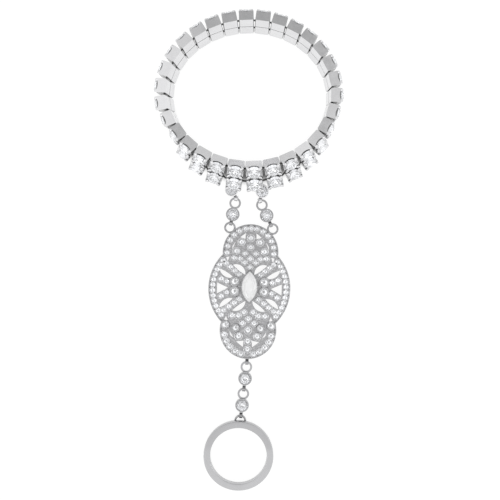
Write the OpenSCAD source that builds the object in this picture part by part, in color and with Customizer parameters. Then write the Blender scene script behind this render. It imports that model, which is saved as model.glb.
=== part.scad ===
// Hand chain bracelet: a stretch bracelet of double box cups, a pierced plaque for the back of
// the hand and a finger ring, joined by round bezel links. It lies on a surface at z = 0.
// X runs across the hand, Y from the finger to the wrist and Z away from the surface.
// The origin is the centre of the wrist opening. Angles round the wrist start at the front,
// where the plaque hangs, and run counterclockwise seen from above.

/* [Bracelet] */
// Number of double cups round the wrist
link_count = 30; // [27:1:33]
// Width of a cup along the bracelet, at its sides
cup_w = 4.27; // [4.25:0.01:4.6]
// Height of one cup across the bracelet
cup_h = 4.55; // [4.4:0.05:5]
// Groove between the two cups of a link
cup_groove = 0.2; // [0.1:0.05:0.4]
// Depth of a cup from its back to its rim
cup_depth = 3; // [2.8:0.1:3.6]
// Rounding of the back edges of a cup
back_round = 0.5; // [0.3:0.1:0.8]
// Gap between neighbouring links where they come closest
link_gap = 0.1; // [0.1:0.01:0.3]
// Share by which the links at the middle of the front are wider
front_grow = 0.16; // [0:0.01:0.2]
// Share by which the links at the middle of the back are wider
back_grow = 0.04; // [0:0.01:0.1]
// Depth of the oval of the wrist opening as a share of its width
oval_ratio = 0.85; // [0.8:0.005:1]
// Share of a link by which the row is turned from the middle of the front
row_shift = -0.28; // [-0.35:0.01:0.3]

/* [Lean of the links] */
// Lean of the links at the front, stones turned up
front_lean = 49; // [35:1:55]
// Lean of the links at the right
right_lean = -5; // [-15:1:10]
// Lean of the links at the back
back_lean = -13; // [-20:1:0]
// Lean of the links at the left
left_lean = -11; // [-20:1:0]

/* [Cup details] */
// Radius of the seat in a cup
seat_r = 1.95; // [1.7:0.05:2]
// Depth of the seat in a cup
seat_depth = 1.45; // [1.3:0.05:1.6]
// Radius of a corner prong
prong_r = 0.36; // [0.25:0.01:0.45]
// Height of a prong above the rim
prong_h = 0.35; // [0.2:0.05:0.6]
// Depth of the arched dip of a cup wall between two prongs
dip_depth = 0.35; // [0.2:0.05:0.5]
// Width of the arched dip
dip_w = 2.9; // [2:0.1:3]
// Radius of the drilled holes for the elastic
thread_hole_r = 0.5; // [0.45:0.05:0.6]
// Distance of the holes from the back of a cup
thread_hole_in = 0.85; // [0.8:0.05:0.9]
// Radius of the elastic
elastic_r = 0.3; // [0.25:0.01:0.35]

/* [Cup stones] */
// Radius of the stone in a cup
stone_r = 2.08; // [1.9:0.01:2.1]
// Radius that the seats and stones at the middle of the front have more
front_stone_grow = 0.12; // [0:0.01:0.13]
// Height of the girdle above the cup rim
stone_rise = 0.2; // [0.15:0.05:0.4]
// Height of the crown above the girdle
stone_crown = 0.85; // [0.6:0.05:1]
// Depth of the pavilion under the girdle
stone_pavilion = 1.4; // [1.2:0.05:1.5]

/* [Bezel links] */
// Radius of a round bezel
bezel_r = 2.1; // [1.9:0.05:2.3]
// Height of a round bezel
bezel_h = 1.7; // [1.6:0.1:2]
// Wall of a round bezel
bezel_wall = 0.33; // [0.25:0.01:0.4]
// Outer radius of an eyelet
eyelet_r = 1.8; // [1.7:0.05:1.9]
// Width of the metal of an eyelet
eyelet_w = 0.6; // [0.5:0.05:0.65]
// Thickness of an eyelet
eyelet_t = 0.45; // [0.35:0.05:0.5]
// Height of the middle of the eyelets above the surface
eyelet_z = 0.86; // [0.85:0.01:1]
// Distance from the middle of a bezel to the middle of its eyelet
eyelet_reach = 3.55; // [3.4:0.05:3.7]
// Distance from the middle of a bezel to the folded tab's loop
tab_reach = 3.3; // [3.2:0.05:3.8]
// Width of a folded tab
tab_w = 1; // [0.8:0.05:1.1]
// Thickness of a folded tab
tab_t = 0.25; // [0.2:0.05:0.3]
// Clearance between a tab's loop and the metal of the eyelet that it holds
tab_clearance = 0.1; // [0.08:0.01:0.12]
// Outward lean of the two bezels soldered under the front cups
solder_lean = 15; // [10:1:20]
// Depth to which a soldered bezel runs into the cup's end wall
solder_depth = 0.3; // [0.25:0.01:0.35]
// Distance of a soldered bezel from its cup's middle, left
solder_left = 0.5; // [0.4:0.1:2]
// Distance of a soldered bezel from its cup's middle, right
solder_right = 2.3; // [1:0.1:2.4]
// Reach of a soldered bezel beyond the cup's back edge
solder_out = 1.6; // [1.5:0.05:1.7]
// Turn of the left soldered tab from straight down, towards the right
left_tab_turn = 24; // [15:1:30]
// Turn of the right soldered tab from straight down, towards the left
right_tab_turn = 12; // [5:1:20]

/* [Plaque] */
// How much longer the right connector is than a drop of the lower chain
connector_slack = -0.2; // [-0.3:0.01:0.3]
// Distance of the plaque's middle to the right of the wrist opening's
plaque_aside = -0.2; // [-1:0.1:1]
// Turn of the plaque on the surface
plaque_turn = -1.9; // [-3:0.1:1]
// Thickness of the plaque
plaque_t = 1.2; // [1:0.1:1.5]
// Radius of the plaque's crosswise curve
plaque_bend = 62; // [50:1:90]
// Half of the width of the middle lobe
lobe_half_w = 12.7; // [12.5:0.1:13]
// Radius of the sides of the middle lobe
lobe_side_r = 15; // [14.5:0.1:16]
// Radius of the upper lobe
upper_r = 8.6; // [8.4:0.05:8.8]
// Distance of the upper lobe from the middle
upper_away = 11.3; // [11.1:0.1:11.6]
// Radius of the lower lobe
lower_r = 8.75; // [8.4:0.05:8.9]
// Distance of the lower lobe from the middle
lower_away = 12.9; // [12.7:0.1:13.2]
// Length of the bottom tab from the plaque's edge to its loop
foot_reach = 0.5; // [0.3:0.1:1]
// Angle of the two eyelets on the upper lobe
ear_angle = 48; // [44:1:51]
// Height of the raised edge of the plaque
edge_h = 0.25; // [0.15:0.05:0.4]
// Width of the raised edge of the plaque
edge_w = 0.35; // [0.3:0.05:0.4]
// Radius of a pavé stone
pave_r = 0.7; // [0.6:0.01:0.72]
// Clearance round a stone in its seat
seat_gap = 0.08; // [0.06:0.01:0.1]
// Depth of a pavé seat
seat_cut = 0.55; // [0.4:0.05:0.7]
// Distance of the pavé border from the plaque's edge
border_in = 1.2; // [1.15:0.05:1.3]

/* [Plaque's main stones] */
// Length of the marquise stone
marquise_l = 9.2; // [8.2:0.1:9.3]
// Width of the marquise stone
marquise_w = 4.5; // [4:0.1:4.6]
// Distance of the marquise's middle above the plaque's middle
marquise_up = 0.6; // [0:0.05:0.7]
// Wall of the bezel round the marquise
marquise_wall = 0.35; // [0.3:0.05:0.45]
// Height of that bezel above the plaque
marquise_rise = 0.9; // [0.7:0.1:1.1]
// Radius of the round stones beside the marquise
accent_r = 1.4; // [1.3:0.05:1.45]
// Wall of the bezels of those stones
accent_wall = 0.2; // [0.15:0.01:0.22]

/* [Finger ring] */
// Inner radius of the finger ring
finger_r = 8.75; // [8:0.05:9.5]
// Wall of the finger ring
ring_wall = 2; // [1.8:0.1:2.4]
// Width of the band, its height when it lies
ring_h = 2.6; // [2:0.1:4]
// Outer radius of the ring's eyelet
ring_eyelet_r = 1.85; // [1.8:0.05:2]
// Reach of the ring's eyelet from the middle of the ring, beyond the bore
ring_eyelet_out = 1.75; // [1.7:0.05:1.9]
// Turn of the ring's eyelet from straight up, towards the right
ring_turn = 3; // [-5:1:5]
// Turn of the lower drops from straight down, towards the left
drop_turn = 6.5; // [0:0.1:8]

/* [Hidden] */
$fn = 48;
eps = 0.01;

// Fixed shares, overlaps and depths of cuts
cut_past = 1;
solder_overlap = 0.06;
prong_root = 0.3;
table_share = 0.56;
bezel_seat = 0.9;
bezel_girdle_in = 0.12;
bezel_crown = 0.5;
bezel_pavilion = 0.7;
stone_gap = 0.1;

// Heights and offsets of a link
link_h = 2 * cup_h + cup_groove;
row_u = (cup_h + cup_groove) / 2;
prong_in = prong_r + 0.02;

// The oval that the links touch, found from the length of the row
oval_h = pow((1 - oval_ratio) / (1 + oval_ratio), 2);
row_len = link_count * (cup_w + link_gap) * (1 + (front_grow + back_grow) / 4);
rim_a = row_len / (PI * (1 + oval_ratio) * (1 + 3 * oval_h / (10 + sqrt(4 - 3 * oval_h))));
rim_b = rim_a * oval_ratio;

// Shares of front, right, back and left in a direction round the wrist
function front_w(q) = pow(max(0, cos(q)), 2);
function right_w(q) = pow(max(0, sin(q)), 2);
function back_w(q) = pow(max(0, -cos(q)), 2);
function left_w(q) = pow(max(0, -sin(q)), 2);

// Width of a link in a direction, as a share of a side link's
function width_share(q) = 1 + front_grow * front_w(q) + back_grow * back_w(q);
function link_w(q) = (cup_w + link_gap) * width_share(q) - link_gap;
function stone_more(q) = front_stone_grow * front_w(q);

function lean(q) = front_lean * front_w(q) + right_lean * right_w(q)
    + back_lean * back_w(q) + left_lean * left_w(q);

// Angles of the links, at even steps of length along the oval
arc_steps = 720;
function arc_step(q) = norm([rim_a * cos(q), rim_b * sin(q)]) * 2 * PI / arc_steps / width_share(q);
arc_table = [
    for (k = 0, s = 0; k <= arc_steps; s = s + arc_step((k + 0.5) * 360 / arc_steps), k = k + 1)
        [s, k * 360 / arc_steps]
];
arc_all = arc_table[arc_steps][0];
function link_q(i) = lookup(((i + 0.5 + row_shift) / link_count) * arc_all, arc_table);

// A soldered bezel's place beside the back edge of a front cup's end wall: outwards and up
solder_up = (solder_depth + (solder_out + bezel_h * sin(solder_lean) - bezel_r * cos(solder_lean))
    * sin(front_lean)) / cos(front_lean) - bezel_h * cos(solder_lean) - bezel_r * sin(solder_lean);
front_lift = bezel_r * sin(solder_lean) - solder_up;

// Frame of a link: x along the row, n from the back to the stones, u from lower to upper cup
function out_angle(q) = atan2(-rim_a * cos(q), rim_b * sin(q));
function out_dir(q) = [cos(out_angle(q)), sin(out_angle(q)), 0];
function link_mid(q) = [rim_a * sin(q), -rim_b * cos(q), 0]
    + link_h / 2 * abs(sin(lean(q))) * out_dir(q)
    + [0, 0, front_lift * front_w(q) + link_h / 2 * cos(lean(q))]
    + [0, 0, (cup_depth + prong_h) * max(0, -sin(lean(q)))];
function link_point(q, x, n, u) = link_mid(q)
    + x * [sin(out_angle(q)), -cos(out_angle(q)), 0]
    + (n * cos(lean(q)) - u * sin(lean(q))) * out_dir(q)
    + [0, 0, n * sin(lean(q)) + u * cos(lean(q))];

module at_link(q) {
    translate(link_mid(q)) rotate([0, 0, out_angle(q) - 90]) rotate([lean(q), 0, 0]) children();
}

// Chain: radius of an eyelet's middle line and of a tab's loop
wire_r = eyelet_r - eyelet_w / 2;
loop_in = norm([eyelet_w, eyelet_t]) / 2 + tab_w * tab_w / 8 / wire_r + tab_clearance;
loop_out = loop_in + tab_t;

function flat_dir(a) = [cos(a), sin(a), 0];
function heading(from, to) = atan2(to[1] - from[1], to[0] - from[0]);

// The two soldered bezels under the front cups
left_q = link_q(link_count - 1);
right_q = link_q(0);
function solder_base(q, x) = link_point(q, x, 0, -link_h / 2)
    + solder_out * out_dir(q) + [0, 0, solder_up];
function on_eyelet_level(p) = [p[0], p[1], eyelet_z];
left_base = solder_base(left_q, solder_left);
right_base = solder_base(right_q, -solder_right);
left_loop = on_eyelet_level(left_base) + tab_reach * flat_dir(-90 + left_tab_turn);
right_loop = on_eyelet_level(right_base) + tab_reach * flat_dir(-90 - right_tab_turn);

// The plaque's place, its eyelets and its bottom tab, in its own frame and on the surface
lobe_side_x = lobe_half_w - lobe_side_r;
bend_drop = plaque_bend - sqrt(plaque_bend * plaque_bend - lobe_half_w * lobe_half_w);
plaque_top = bend_drop + plaque_t;
foot_edge = lower_away + lower_r;
foot_out = foot_edge + foot_reach + loop_out - tab_t / 2;
lug_r = eyelet_w;
function ear_at(side, out) = [side * out * cos(ear_angle), upper_away + out * sin(ear_angle), 0];
function turned(p) = [
    p[0] * cos(plaque_turn) - p[1] * sin(plaque_turn),
    p[0] * sin(plaque_turn) + p[1] * cos(plaque_turn),
    p[2]
];
ear_out = upper_r + eyelet_r - eyelet_w * 0.8;
drop_len = wire_r + eyelet_reach + tab_reach;
connector_l = drop_len + wire_r + connector_slack;
ear_aside = plaque_aside + turned(ear_at(1, ear_out))[0] - right_loop[0];
plaque_away = turned(ear_at(1, ear_out))[1] - right_loop[1]
    + sqrt(connector_l * connector_l - ear_aside * ear_aside);
plaque_at = [plaque_aside, -plaque_away, 0];
left_ear = plaque_at + turned(ear_at(-1, ear_out)) + [0, 0, eyelet_z];
right_ear = plaque_at + turned(ear_at(1, ear_out)) + [0, 0, eyelet_z];
foot_loop = plaque_at + turned([0, -foot_out, eyelet_z]);

// The two drops and the finger ring below them
drop_dir = flat_dir(-90 - drop_turn);
drop_eyelet = foot_loop + (drop_len + wire_r) * drop_dir;
drop_loop = foot_loop + drop_len * drop_dir;
ring_wire_r = ring_eyelet_r - eyelet_w / 2;
ring_eyelet = drop_loop + (drop_len + ring_wire_r) * drop_dir;
ring_at = ring_eyelet - (finger_r + ring_eyelet_out) * flat_dir(90 - ring_turn) - [0, 0, eyelet_z];
ring_out = finger_r + ring_wall;
ring_rise = eyelet_z + eyelet_t / 2 - solder_overlap;
ring_tilt = asin(ring_rise / (ring_out + finger_r + ring_eyelet_out));

// Cut round stone: a pavilion point, a girdle at z = 0, eight or more crown facets and a table
module round_stone(r, crown, pavilion, sides = 8) {
    levels = [[r, 0], [r * table_share, crown]];
    points = concat(
        [[0, 0, -pavilion]],
        [for (level = levels, k = [0 : sides - 1])
            [level[0] * cos((k + 0.5) * 360 / sides), level[0] * sin((k + 0.5) * 360 / sides), level[1]]]
    );
    polyhedron(points = points, faces = concat(
        [for (k = [0 : sides - 1]) [0, 1 + k, 1 + (k + 1) % sides]],
        [for (k = [0 : sides - 1])
            [1 + k, 1 + sides + k, 1 + sides + (k + 1) % sides, 1 + (k + 1) % sides]],
        [[for (k = [0 : sides - 1]) 2 * sides - k]]
    ));
}

// Outline of a link seen along its height, with rounded back edges
module link_profile(w) {
    translate([-w / 2, back_round]) square([w, cup_depth - back_round]);
    translate([-w / 2 + back_round, 0]) square([w - 2 * back_round, back_round + eps]);
    for (side = [-1, 1])
        translate([side * (w / 2 - back_round), back_round]) circle(r = back_round);
}

module prongs(w) {
    for (sx = [-1, 1], sz = [-1, 1])
        translate([sx * (w / 2 - prong_in), cup_depth - prong_root, sz * (cup_h / 2 - prong_in)])
            rotate([-90, 0, 0]) {
                cylinder(r = prong_r, h = prong_root + prong_h);
                translate([0, 0, prong_root + prong_h]) sphere(r = prong_r, $fn = 24);
            }
}

// Arched dips of the cup walls between the prongs, along x and along the height
module wall_dips() {
    dip_r = (dip_w * dip_w / 4 + dip_depth * dip_depth) / (2 * dip_depth);
    for (u = [-row_u, row_u])
        translate([-cup_w, cup_depth - dip_depth + dip_r, u]) rotate([0, 90, 0])
            cylinder(r = dip_r, h = 2 * cup_w);
    translate([0, cup_depth - dip_depth + dip_r, -link_h]) cylinder(r = dip_r, h = 2 * link_h);
}

// One double cup: two seats, eight prongs, a groove and two drilled holes
module double_cup(w, more) {
    difference() {
        translate([0, 0, -link_h / 2]) linear_extrude(link_h) link_profile(w);
        for (u = [-row_u, row_u]) {
            translate([0, cup_depth - seat_depth, u]) rotate([-90, 0, 0])
                cylinder(r = seat_r + more, h = seat_depth + cut_past);
            translate([-cup_w, thread_hole_in, u]) rotate([0, 90, 0])
                cylinder(r = thread_hole_r, h = 2 * cup_w);
        }
        wall_dips();
        translate([-cup_w, cup_depth - seat_depth / 2, -cup_groove / 2])
            cube([2 * cup_w, seat_depth, cup_groove]);
        translate([-cup_w, -cut_past, -cup_groove / 2])
            cube([2 * cup_w, cut_past + 1.5 * cup_groove, cup_groove]);
    }
    for (u = [-row_u, row_u]) translate([0, 0, u]) prongs(w);
}

// Round bezel with its base at z = 0 and a seat for its stone
module bezel_cup() {
    difference() {
        cylinder(r = bezel_r, h = bezel_h);
        translate([0, 0, bezel_h - bezel_seat])
            cylinder(r = bezel_r - bezel_wall, h = bezel_seat + cut_past);
    }
}

module bezel_stone() {
    translate([0, 0, bezel_h - bezel_girdle_in])
        round_stone(bezel_r - bezel_wall - stone_gap, bezel_crown, bezel_pavilion);
}

module flat_eyelet(r) {
    rotate_extrude() translate([r - eyelet_w, -eyelet_t / 2]) square([eyelet_w, eyelet_t]);
}

// Loop of a folded tab round an eyelet's metal; the chain runs on along its x axis
module tab_loop() {
    rotate([90, 0, 0]) difference() {
        cylinder(r = loop_out, h = tab_w, center = true);
        cylinder(r = loop_in, h = 2 * tab_w, center = true);
    }
}

// Strip of a tab from a bezel's side to its loop
module tab_strip(from, to) {
    strip_l = norm([to[0] - from[0], to[1] - from[1]]);
    translate(from) rotate([0, 0, heading(from, to)])
        translate([bezel_r - bezel_wall, -tab_w / 2, -tab_t / 2])
            cube([strip_l - bezel_r + bezel_wall - loop_in, tab_w, tab_t]);
}

// Flat bar from an eyelet to its bezel's side, from x = 0 at the bezel's middle towards -x
module eyelet_bar() {
    inner = bezel_r - bezel_wall;
    outer = eyelet_reach - wire_r;
    translate([-outer, -tab_w / 2, -eyelet_t / 2]) cube([outer - inner, tab_w, eyelet_t]);
}

// Link of the chain from the loop that holds its eyelet to the next eyelet that it holds
function bezel_mid(from, to) = from + (wire_r + eyelet_reach) * flat_dir(heading(from, to));
function loop_mid(from, to, next_wire_r) = to - next_wire_r * flat_dir(heading(from, to));

module bezel_link(from, to, next_wire_r) {
    turn = heading(from, to);
    mid = bezel_mid(from, to);
    hold = loop_mid(from, to, next_wire_r);
    translate([mid[0], mid[1], 0]) bezel_cup();
    translate(from + wire_r * flat_dir(turn)) flat_eyelet(eyelet_r);
    translate(mid) rotate([0, 0, turn]) eyelet_bar();
    tab_strip(mid, hold);
    translate(hold) rotate([0, 0, turn]) tab_loop();
}

module link_stone(from, to) {
    mid = bezel_mid(from, to);
    translate([mid[0], mid[1], 0]) bezel_stone();
}

module at_solder(base, q) {
    translate(base) rotate([0, 0, out_angle(q) - 90]) rotate([-solder_lean, 0, 0]) children();
}

// Soldered bezel with its tab, whose loop turns towards the next eyelet
module soldered_bezel(base, q, hold, next) {
    at_solder(base, q) bezel_cup();
    tab_strip(on_eyelet_level(base), hold);
    translate(hold) rotate([0, 0, heading(hold, next)]) tab_loop();
}

module cup_link(i) {
    color("silver") {
        at_link(link_q(i)) double_cup(link_w(link_q(i)), stone_more(link_q(i)));
        if (i == 0) soldered_bezel(right_base, right_q, right_loop, right_ear);
        if (i == link_count - 1) soldered_bezel(left_base, left_q, left_loop, left_ear);
    }
}

module row_stones(u) {
    color("aliceblue") for (i = [0 : link_count - 1])
        at_link(link_q(i)) translate([0, cup_depth + stone_rise, u]) rotate([-90, 0, 0])
            round_stone(stone_r + stone_more(link_q(i)), stone_crown, stone_pavilion);
}

// Elastic through the holes of one row of cups, straight in each link and bent between links
elastic_sides = 8;
module elastic(u) {
    rings = [
        for (i = [0 : link_count - 1], end = [1, -1]) [
            for (k = [0 : elastic_sides - 1]) link_point(
                link_q(i), end * link_w(link_q(i)) / 2,
                thread_hole_in + elastic_r * cos(k * 360 / elastic_sides),
                u + elastic_r * sin(k * 360 / elastic_sides)
            )
        ]
    ];
    count = len(rings);
    color("whitesmoke") polyhedron(
        points = [for (ring = rings) for (p = ring) p],
        faces = [
            for (r = [0 : count - 1], k = [0 : elastic_sides - 1]) [
                r * elastic_sides + k,
                r * elastic_sides + (k + 1) % elastic_sides,
                ((r + 1) % count) * elastic_sides + (k + 1) % elastic_sides,
                ((r + 1) % count) * elastic_sides + k
            ]
        ]
    );
}

// Space between two arcs over one chord along x, from rise inner to rise outer
module lune(chord, outer, inner) {
    outer_r = (chord * chord / 4 + outer * outer) / (2 * outer);
    inner_r = (chord * chord / 4 + inner * inner) / (2 * abs(inner));
    if (inner > 0) difference() {
        translate([0, outer - outer_r]) circle(r = outer_r);
        translate([0, inner - inner_r]) circle(r = inner_r);
    }
    else intersection() {
        translate([0, outer - outer_r]) circle(r = outer_r);
        translate([0, inner + inner_r]) circle(r = inner_r);
    }
}

module plaque_outline(grow = 0) {
    intersection_for (side = [-1, 1])
        translate([side * lobe_side_x, 0]) circle(r = lobe_side_r + grow);
    translate([0, upper_away]) circle(r = upper_r + grow);
    translate([0, -lower_away]) circle(r = lower_r + grow);
}

// Places on the plaque are shares of a lobe's size from its centre: 0 middle, 1 upper, 2 lower
function lobe_place(lobe, x, y) = [0, [0, upper_away, -lower_away][lobe]]
    + [x, y] * [lobe_half_w, upper_r, lower_r][lobe];

// Curved openings of one half of the middle lobe: x, y, turn, chord, outer rise, inner rise
opening_table = [
    [0.264, 0.452, 37, 0.384, 0.11, -0.018],
    [0.568, 0.366, 31, 0.408, 0.02, -0.094],
    [0.56, -0.368, -37, 0.408, 0.09, -0.024],
    [0.244, -0.424, -38, 0.4, 0.018, -0.1]
];
// Pierced triangles of one half: lobe, then three corners
triangle_table = [
    [0, [0.52, 0.008], [0.79, 0.125], [0.79, -0.145]],
    [0, [0.51, 0.77], [0.59, 0.745], [0.55, 0.63]],
    [0, [0.5, -0.79], [0.59, -0.775], [0.545, -0.68]],
    [1, [0.19, 0.68], [0.39, 0.52], [0.2, 0.47]],
    [1, [0.54, 0.38], [0.655, 0.2], [0.66, 0.06]],
    [2, [0.15, -0.36], [0.42, -0.4], [0.16, -0.6]],
    [2, [0.66, -0.02], [0.62, -0.2], [0.48, -0.3]]
];

module plaque_openings() {
    for (side = [0, 1]) mirror([side, 0]) {
        for (o = opening_table)
            translate([o[0], o[1]] * lobe_half_w) rotate(o[2])
                lune(o[3] * lobe_half_w, o[4] * lobe_half_w, o[5] * lobe_half_w);
        for (t = triangle_table)
            polygon([for (k = [1 : 3]) lobe_place(t[0], t[k][0], t[k][1])]);
    }
}

// Curved plate, bent crosswise with its side edges on the surface
sheet_l = upper_away + upper_r + lower_away + lower_r;
module bent_sheet(low, high) {
    translate([0, 0, bend_drop - plaque_bend]) rotate([90, 0, 0]) difference() {
        cylinder(r = plaque_bend + high, h = 2 * sheet_l, center = true, $fn = 96);
        cylinder(r = plaque_bend + low, h = 2 * sheet_l + cut_past, center = true, $fn = 96);
    }
}

// Puts a child on the curved upper face at x, y, square to it
module on_sheet(x, y, level = 0) {
    slope = asin(x / (plaque_bend + plaque_t));
    translate([0, y, bend_drop - plaque_bend]) rotate([0, slope, 0])
        translate([0, 0, plaque_bend + plaque_t + level]) children();
}

// Border rows of one half: centre, radius, first and last angle, stones, stone radius
border_rows = [
    [[lobe_side_x, 0], lobe_side_r - border_in, -38, 38, 12, pave_r],
    [[0, upper_away], upper_r - border_in, -3, 76, 6, pave_r],
    [[0, -lower_away], lower_r - border_in, -12, -75, 5, pave_r * 1.2]
];
// Ribbons of one half of the middle lobe: first x, y, last x, y, stones, size of the stones
ribbon_rows = [
    [0.272, 0.34, 0.588, 0.6, 4, 1],
    [0.564, 0.156, 0.7, 0.22, 2, 1],
    [0.556, -0.108, 0.688, -0.204, 2, 1],
    [0.24, -0.268, 0.624, -0.544, 4, 1.05]
];
// Single stones of one half: lobe, x, y, size as a share of a pavé stone
single_table = [
    [0, 0.136, 0.632, 1], [0, 0.252, 0.72, 1], [0, 0.4, 0.736, 1],
    [0, 0.112, -0.576, 1.1], [0, 0.248, -0.664, 1.1], [0, 0.408, -0.668, 1.1],
    [1, 0.335, 0.35, 1.25], [1, 0.51, 0.025, 1.2], [1, 0.195, -0.06, 1],
    [2, 0.21, 0.245, 1.1], [2, 0.33, -0.21, 1.3]
];
// Stones on the plaque's long axis, with the same columns
axis_table = [
    [0, 0, 0.52, 1], [1, 0, -0.245, 1.1], [1, 0, 0.17, 1.1], [1, 0, 0.5, 1.25], [1, 0, 0.85, 1],
    [2, 0, 0.405, 1.1], [2, 0, 0.01, 1.3], [2, 0, -0.385, 1.2], [2, 0, -0.665, 1.25]
];

// Every pavé place as x, y and stone radius
function single_place(t) = concat(lobe_place(t[0], t[1], t[2]), pave_r * t[3]);
half_pave = concat(
    [for (row = border_rows, k = [0 : row[4] - 1])
        let (a = row[2] + (row[3] - row[2]) * k / (row[4] - 1))
        concat(row[0] + row[1] * [cos(a), sin(a)], row[5])],
    [for (row = ribbon_rows, k = [0 : row[4] - 1])
        let (s = k / (row[4] - 1), x = row[0] + (row[2] - row[0]) * s, y = row[1] + (row[3] - row[1]) * s)
        concat(lobe_place(0, x, y), pave_r * row[5])],
    [for (t = single_table) single_place(t)]
);
pave_places = concat(
    half_pave,
    [for (p = half_pave) [-p[0], p[1], p[2]]],
    [for (t = axis_table) single_place(t)]
);

// Bezel-set round stones as x, y and stone radius: four by the marquise, four in the lower lobe
accent_away = 0.4;
accent_x = marquise_w / 2 + marquise_wall + accent_r + accent_wall + accent_away;
half_accents = [
    [accent_x, marquise_up + accent_r + accent_wall / 2, accent_r],
    [accent_x, marquise_up - accent_r - accent_wall / 2, accent_r],
    concat(lobe_place(2, 0.44, 0.08), accent_r * 0.8),
    concat(lobe_place(2, 0.81, 0.18), accent_r * 0.86)
];
accent_places = concat(half_accents, [for (p = half_accents) [-p[0], p[1], p[2]]]);

// Marquise outline between two arcs, grown by a margin all round
module marquise_shape(grow) {
    lune(marquise_l + 2 * grow, marquise_w / 2 + grow, -marquise_w / 2 - grow);
}

// Depths and heights of the plaque's settings, from the curved face or the plaque's top
edge_root = 0.2;
marquise_root = 0.3;
marquise_girdle = 0.35;
marquise_table = 0.1;
marquise_crown = 1;
marquise_gap = 0.12;
accent_root = 0.5;
accent_rise = 0.5;
accent_girdle = 0.25;
pave_girdle = 0.05;

// Lug under each eyelet and strip over the bottom loop, up to the middle of the plate
module lugs() {
    lug_x = ear_at(1, upper_r - lug_r)[0];
    low = eyelet_z - eyelet_t / 2;
    for (side = [-1, 1])
        translate(ear_at(side, upper_r - lug_r) + [0, 0, low])
            cylinder(r = lug_r, h = bend_drop + plaque_t / 2 - lug_x * lug_x / 2 / plaque_bend - low);
    translate([-tab_w / 2, -foot_edge - tab_t / 2, eyelet_z])
        cube([tab_w, tab_t, bend_drop + plaque_t / 2 - eyelet_z]);
    translate([-tab_w / 2, -foot_edge - foot_reach, eyelet_z - tab_t / 2])
        cube([tab_w, foot_reach, tab_t]);
}

module plaque() {
    color("silver") translate(plaque_at) rotate([0, 0, plaque_turn]) {
        difference() {
            union() {
                intersection() {
                    linear_extrude(plaque_top + cut_past) difference() {
                        plaque_outline();
                        plaque_openings();
                    }
                    bent_sheet(0, plaque_t);
                }
                intersection() {
                    linear_extrude(plaque_top + cut_past) difference() {
                        plaque_outline();
                        plaque_outline(-edge_w);
                    }
                    bent_sheet(plaque_t - edge_root, plaque_t + edge_h);
                }
                translate([0, marquise_up, plaque_top - marquise_root])
                    linear_extrude(marquise_root + marquise_rise) rotate(90) marquise_shape(marquise_wall);
                for (p = accent_places) on_sheet(p[0], p[1], -accent_root)
                    cylinder(r = p[2] + accent_wall, h = accent_root + accent_rise);
            }
            translate([0, marquise_up, plaque_top - marquise_root - stone_gap])
                linear_extrude(marquise_root + marquise_rise + cut_past) rotate(90) marquise_shape(0);
            for (p = accent_places) on_sheet(p[0], p[1], -accent_root - stone_gap)
                cylinder(r = p[2], h = accent_root + accent_rise + cut_past);
            for (p = pave_places) on_sheet(p[0], p[1], -seat_cut)
                cylinder(r = p[2] + seat_gap, h = seat_cut + cut_past);
        }
        for (side = [-1, 1]) translate(ear_at(side, ear_out) + [0, 0, eyelet_z]) flat_eyelet(eyelet_r);
        lugs();
        translate([0, -foot_out, eyelet_z]) rotate([0, 0, -90]) tab_loop();
    }
}

module marquise_stone() {
    color("aliceblue") translate(plaque_at) rotate([0, 0, plaque_turn])
        translate([0, marquise_up, plaque_top + marquise_root]) rotate([0, 0, 90]) hull() {
            linear_extrude(marquise_girdle, $fn = 24) marquise_shape(-marquise_gap);
            translate([0, 0, marquise_crown]) linear_extrude(marquise_table, $fn = 24)
                lune(marquise_l * 0.66, marquise_w * 0.3, -marquise_w * 0.3);
        }
}

module accent_stones() {
    color("aliceblue") translate(plaque_at) rotate([0, 0, plaque_turn])
        for (p = accent_places) on_sheet(p[0], p[1], accent_girdle)
            round_stone(p[2] - stone_gap, p[2] * 0.4, accent_root);
}

module pave_stones() {
    color("aliceblue") translate(plaque_at) rotate([0, 0, plaque_turn])
        for (p = pave_places) on_sheet(p[0], p[1], pave_girdle)
            round_stone(p[2], p[2] * 0.45, seat_cut);
}

module left_connector() {
    color("silver") bezel_link(left_loop, left_ear, wire_r);
}

module right_connector() {
    color("silver") bezel_link(right_loop, right_ear, wire_r);
}

module upper_drop() {
    color("silver") bezel_link(foot_loop, drop_eyelet, wire_r);
}

module lower_drop() {
    color("silver") bezel_link(drop_loop, ring_eyelet, ring_wire_r);
}

module connector_stones() {
    color("aliceblue") {
        at_solder(left_base, left_q) bezel_stone();
        at_solder(right_base, right_q) bezel_stone();
        link_stone(left_loop, left_ear);
        link_stone(right_loop, right_ear);
        link_stone(foot_loop, drop_eyelet);
        link_stone(drop_loop, ring_eyelet);
    }
}

// Plain band that rests on its far edge and on the eyelet soldered under its near edge
module finger_ring() {
    color("silver") {
        translate(ring_at) rotate([0, 0, -ring_turn]) translate([0, -ring_out, 0])
            rotate([ring_tilt, 0, 0]) translate([0, ring_out, 0]) difference() {
                cylinder(r = ring_out, h = ring_h, $fn = 96);
                translate([0, 0, -cut_past])
                    cylinder(r = finger_r, h = ring_h + 2 * cut_past, $fn = 96);
            }
        translate(ring_eyelet) flat_eyelet(ring_eyelet_r);
    }
}

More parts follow.
